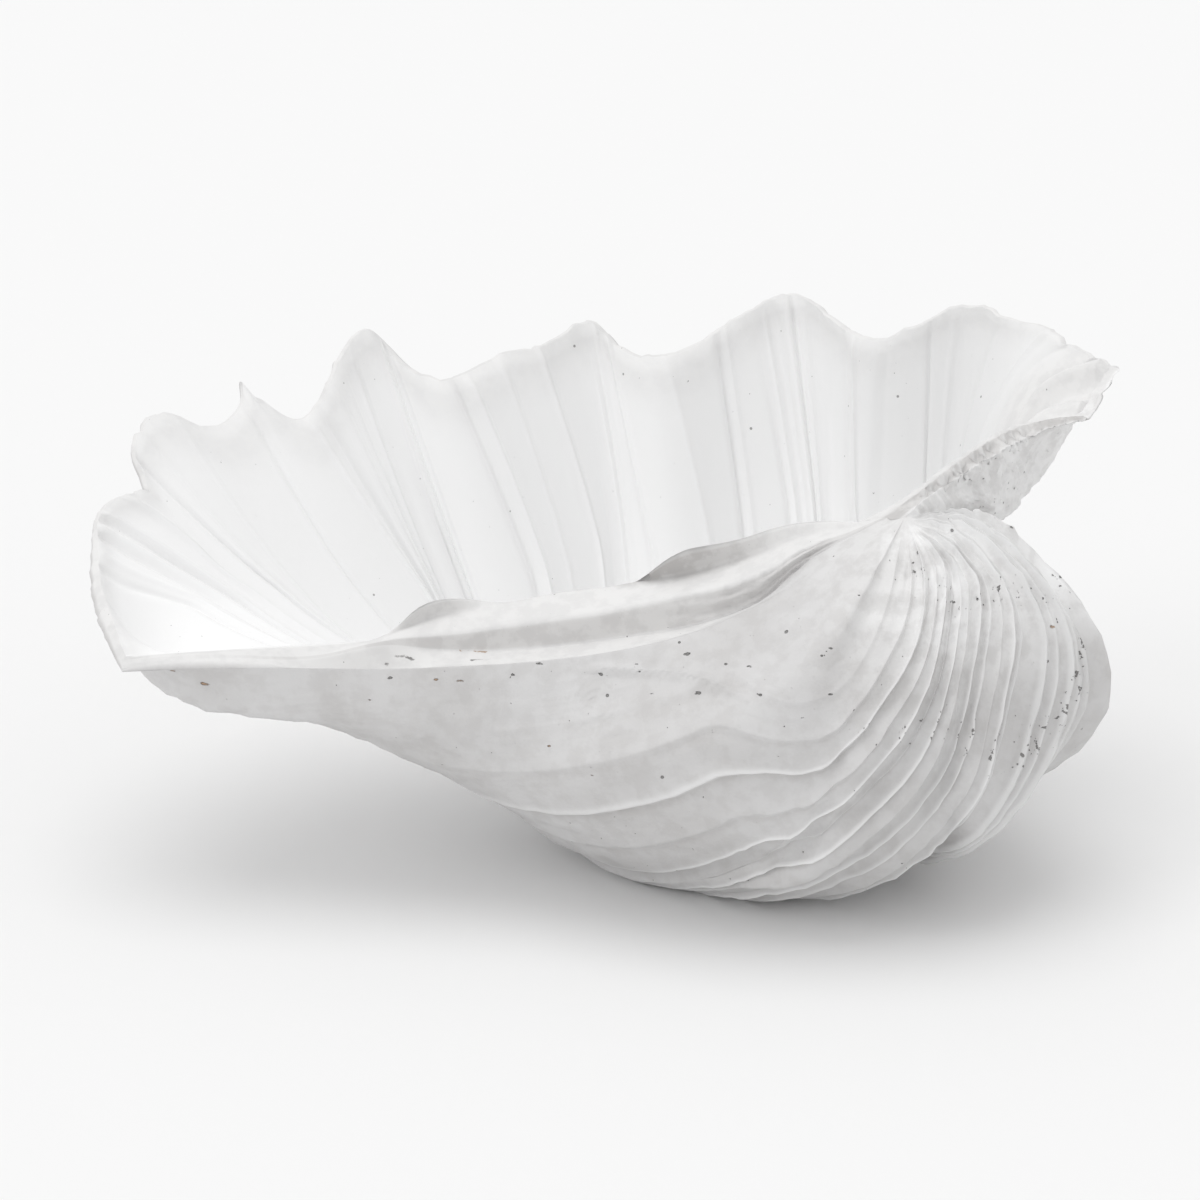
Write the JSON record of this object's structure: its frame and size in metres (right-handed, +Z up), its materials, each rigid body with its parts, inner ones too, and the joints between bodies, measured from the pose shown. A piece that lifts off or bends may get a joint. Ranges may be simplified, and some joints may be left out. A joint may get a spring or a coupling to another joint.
{
  "type": "clam shell",
  "caption": "Single valve of a giant clam, an open scalloped bowl with radial ribs, a toothed hinge and a curled beak, resting on its outside.",
  "frame": {"origin": "centre of the bounding box in plan, at the level the shell rests on", "axes": "+X along the hinge towards the beak end, +Y from the hinge towards the open scalloped margin, +Z up with the hollow facing up"},
  "size_m": [0.5412, 0.3717, 0.2566],
  "materials": {
    "shell": "matte"
  },
  "bodies": {
    "root": {"clam_shell": "shell"}
  },
  "joints": []
}
